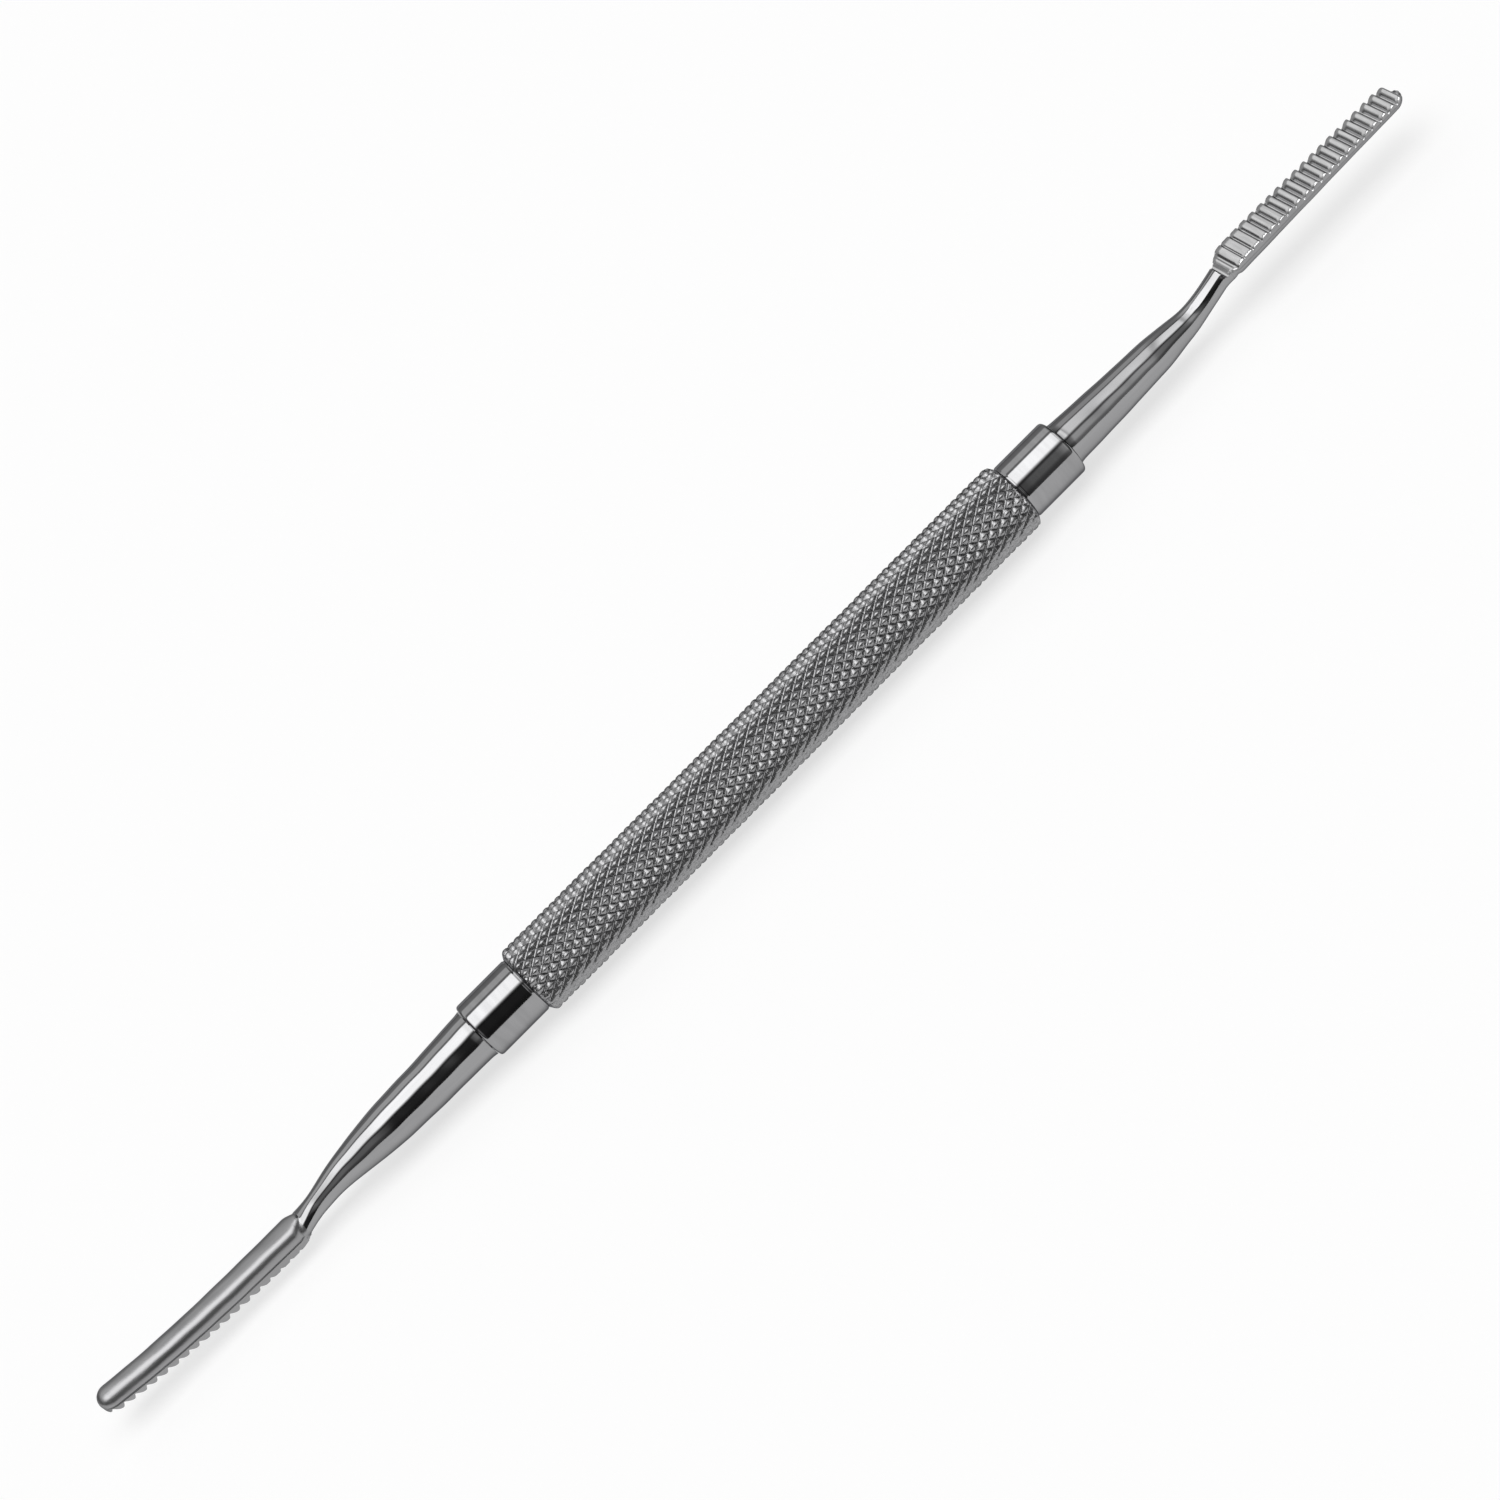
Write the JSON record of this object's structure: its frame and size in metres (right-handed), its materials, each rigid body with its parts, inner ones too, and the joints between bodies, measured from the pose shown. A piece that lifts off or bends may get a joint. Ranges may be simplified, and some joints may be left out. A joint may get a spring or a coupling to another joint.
{
  "type": "double-ended bone file",
  "caption": "Slim steel hand instrument with a diamond-knurled grip between smooth collars and a narrow, straight-toothed rasp blade on a bent neck at each end.",
  "frame": {"origin": "middle of the whole length, on the handle's axis", "axes": "+X along the handle towards the end with the slimmer shank, whose teeth face +Z; the other end's teeth face -Z; the blades are straight across along Y"},
  "size_m": [0.18, 0.0078, 0.0078],
  "materials": {
    "knurled_steel": "fine satin from the knurling and light polishing",
    "polished_steel": "polished stainless steel"
  },
  "bodies": {
    "root": {"knurled_handle": "knurled_steel", "upper_file_end": "polished_steel", "lower_file_end": "polished_steel"}
  },
  "joints": []
}
